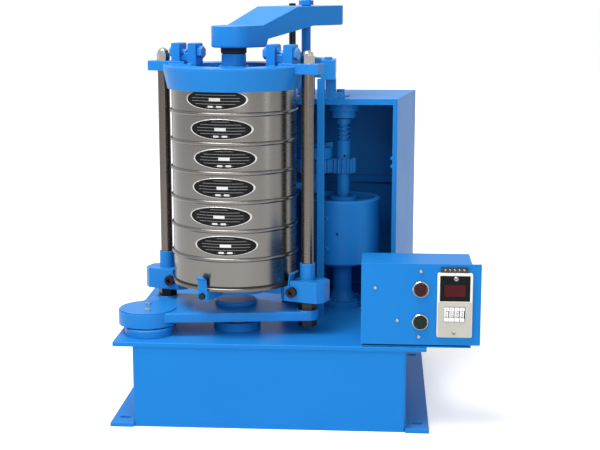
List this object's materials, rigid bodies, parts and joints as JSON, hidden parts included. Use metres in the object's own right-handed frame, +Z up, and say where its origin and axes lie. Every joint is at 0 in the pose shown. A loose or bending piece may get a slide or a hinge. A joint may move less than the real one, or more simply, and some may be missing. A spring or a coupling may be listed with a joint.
{
  "type": "sieve shaker",
  "caption": "Top-tapping sieve shaker: a circling cast plate carries a clamped stack of round sieves on two posts while a cam-lifted hammer arm taps the lid.",
  "frame": {"origin": "centre of the four floor slots, on the floor plane", "axes": "+Z up, -Y the front with the control panel, +X towards the control box"},
  "size_m": [0.591, 0.4592, 0.6802],
  "materials": {
    "blue_enamel": "bright blue gloss enamel",
    "machined_steel": "turned steel",
    "ground_steel": "ground steel",
    "sieve_steel": "brushed stainless steel",
    "bronze": "sintered bronze",
    "black_oxide": "black oxide",
    "chrome": "bright plated",
    "black_rubber": "matt",
    "black_plastic": "fine grain",
    "white_plastic": "smooth",
    "clear_window": "smoked clear",
    "red_plastic": "gloss",
    "green_plastic": "gloss"
  },
  "bodies": {
    "frame": {"base_frame": "blue_enamel", "bed_plate": "blue_enamel", "bearing_housings": "blue_enamel", "shaft_bushes": "bronze", "belt": "black_rubber", "pillar": "blue_enamel", "tap_bracket": "blue_enamel", "cabinet": "blue_enamel", "cam_shelf": "blue_enamel", "motor": "blue_enamel", "frame_screws": "blue_enamel", "control_box": "blue_enamel", "control_panel": "blue_enamel", "button_bezels": "chrome", "timer_housing": "black_plastic", "timer_window": "clear_window", "cable_gland": "black_rubber"},
    "main_crank": {"main_crank": "machined_steel", "crank_pulley": "machined_steel"},
    "idler_crank": {"idler_crank": "machined_steel"},
    "swing": {"swing_plate": "blue_enamel", "swing_covers": "blue_enamel", "posts": "ground_steel", "post_nuts": "machined_steel", "acorn_nuts": "chrome", "tray_beam": "blue_enamel", "tray_plate": "sieve_steel", "rubber_mat": "black_rubber", "pan_clips": "blue_enamel", "pan": "sieve_steel", "sieve_1": "sieve_steel", "sieve_2": "sieve_steel", "sieve_3": "sieve_steel", "sieve_4": "sieve_steel", "sieve_5": "sieve_steel", "sieve_6": "sieve_steel", "lid": "blue_enamel", "tap_plug": "blue_enamel", "press_ring": "blue_enamel", "swing_screws": "black_oxide"},
    "drive_shaft": {"drive_shaft": "blue_enamel", "pinion": "blue_enamel", "preload_spring": "blue_enamel", "drive_pulley": "machined_steel"},
    "cam_shaft": {"cam_gear": "blue_enamel", "face_cam": "blue_enamel"},
    "hammer": {"hammer_arm": "blue_enamel", "tap_pad": "black_rubber", "tapping_rod": "blue_enamel", "guide_rod": "black_oxide"},
    "red_button": {"red_button": "red_plastic"},
    "green_button": {"green_button": "green_plastic"},
    "digit_wheel_1": {"digit_wheel_1": "black_plastic"},
    "key_rocker_1": {"key_rocker_1": "white_plastic"},
    "digit_wheel_2": {"digit_wheel_2": "black_plastic"},
    "key_rocker_2": {"key_rocker_2": "white_plastic"},
    "digit_wheel_3": {"digit_wheel_3": "black_plastic"},
    "key_rocker_3": {"key_rocker_3": "white_plastic"},
    "digit_wheel_4": {"digit_wheel_4": "black_plastic"},
    "key_rocker_4": {"key_rocker_4": "white_plastic"}
  },
  "joints": [
    {"name": "main_crank_spin", "type": "hinge", "parent": "frame", "child": "main_crank", "pos_m": [-0.06177, -0.11407, 0.15], "axis": [0, 0, 1], "continuous": true},
    {"name": "swing_orbit", "type": "hinge", "parent": "main_crank", "child": "swing", "pos_m": [-0.065, -0.102, 0.165], "axis": [0, 0, 1], "continuous": true},
    {"name": "idler_crank_spin", "type": "hinge", "parent": "frame", "child": "idler_crank", "pos_m": [-0.20126, -0.16807, 0.15], "axis": [0, 0, 1], "continuous": true},
    {"name": "drive_shaft_spin", "type": "hinge", "parent": "frame", "child": "drive_shaft", "pos_m": [0.1085, 0.06, 0.35], "axis": [0, 0, 1], "continuous": true},
    {"name": "cam_shaft_spin", "type": "hinge", "parent": "frame", "child": "cam_shaft", "pos_m": [0.0585, 0.06, 0.39], "axis": [0, 0, 1], "continuous": true},
    {"name": "tap_slide", "type": "slide", "parent": "frame", "child": "hammer", "axis": [0, 0, 1], "range_m": [0, 0.04]},
    {"name": "red_button_press", "type": "slide", "parent": "frame", "child": "red_button", "axis": [0, 1, 0], "range_m": [0, 0.003], "stiffness_N_per_m": 300},
    {"name": "green_button_press", "type": "slide", "parent": "frame", "child": "green_button", "axis": [0, 1, 0], "range_m": [0, 0.003], "stiffness_N_per_m": 300},
    {"name": "digit_wheel_1_turn", "type": "hinge", "parent": "frame", "child": "digit_wheel_1", "pos_m": [0.28085, -0.2212, 0.1974], "axis": [1, 0, 0], "continuous": true},
    {"name": "key_rocker_1_press", "type": "hinge", "parent": "frame", "child": "key_rocker_1", "pos_m": [0.28085, -0.2212, 0.1974], "axis": [1, 0, 0], "range_deg": [-4, 4], "stiffness_Nm_per_rad": 0.05},
    {"name": "digit_wheel_2_turn", "type": "hinge", "parent": "frame", "child": "digit_wheel_2", "pos_m": [0.28895, -0.2212, 0.1974], "axis": [1, 0, 0], "continuous": true},
    {"name": "key_rocker_2_press", "type": "hinge", "parent": "frame", "child": "key_rocker_2", "pos_m": [0.28895, -0.2212, 0.1974], "axis": [1, 0, 0], "range_deg": [-4, 4], "stiffness_Nm_per_rad": 0.05},
    {"name": "digit_wheel_3_turn", "type": "hinge", "parent": "frame", "child": "digit_wheel_3", "pos_m": [0.29705, -0.2212, 0.1974], "axis": [1, 0, 0], "continuous": true},
    {"name": "key_rocker_3_press", "type": "hinge", "parent": "frame", "child": "key_rocker_3", "pos_m": [0.29705, -0.2212, 0.1974], "axis": [1, 0, 0], "range_deg": [-4, 4], "stiffness_Nm_per_rad": 0.05},
    {"name": "digit_wheel_4_turn", "type": "hinge", "parent": "frame", "child": "digit_wheel_4", "pos_m": [0.30515, -0.2212, 0.1974], "axis": [1, 0, 0], "continuous": true},
    {"name": "key_rocker_4_press", "type": "hinge", "parent": "frame", "child": "key_rocker_4", "pos_m": [0.30515, -0.2212, 0.1974], "axis": [1, 0, 0], "range_deg": [-4, 4], "stiffness_Nm_per_rad": 0.05}
  ],
  "couplings": [
    {"joint": "swing_orbit", "follows": "main_crank_spin", "ratio": -1},
    {"joint": "idler_crank_spin", "follows": "main_crank_spin", "ratio": 1},
    {"joint": "drive_shaft_spin", "follows": "main_crank_spin", "ratio": 1},
    {"joint": "cam_shaft_spin", "follows": "main_crank_spin", "ratio": -0.66667}
  ]
}
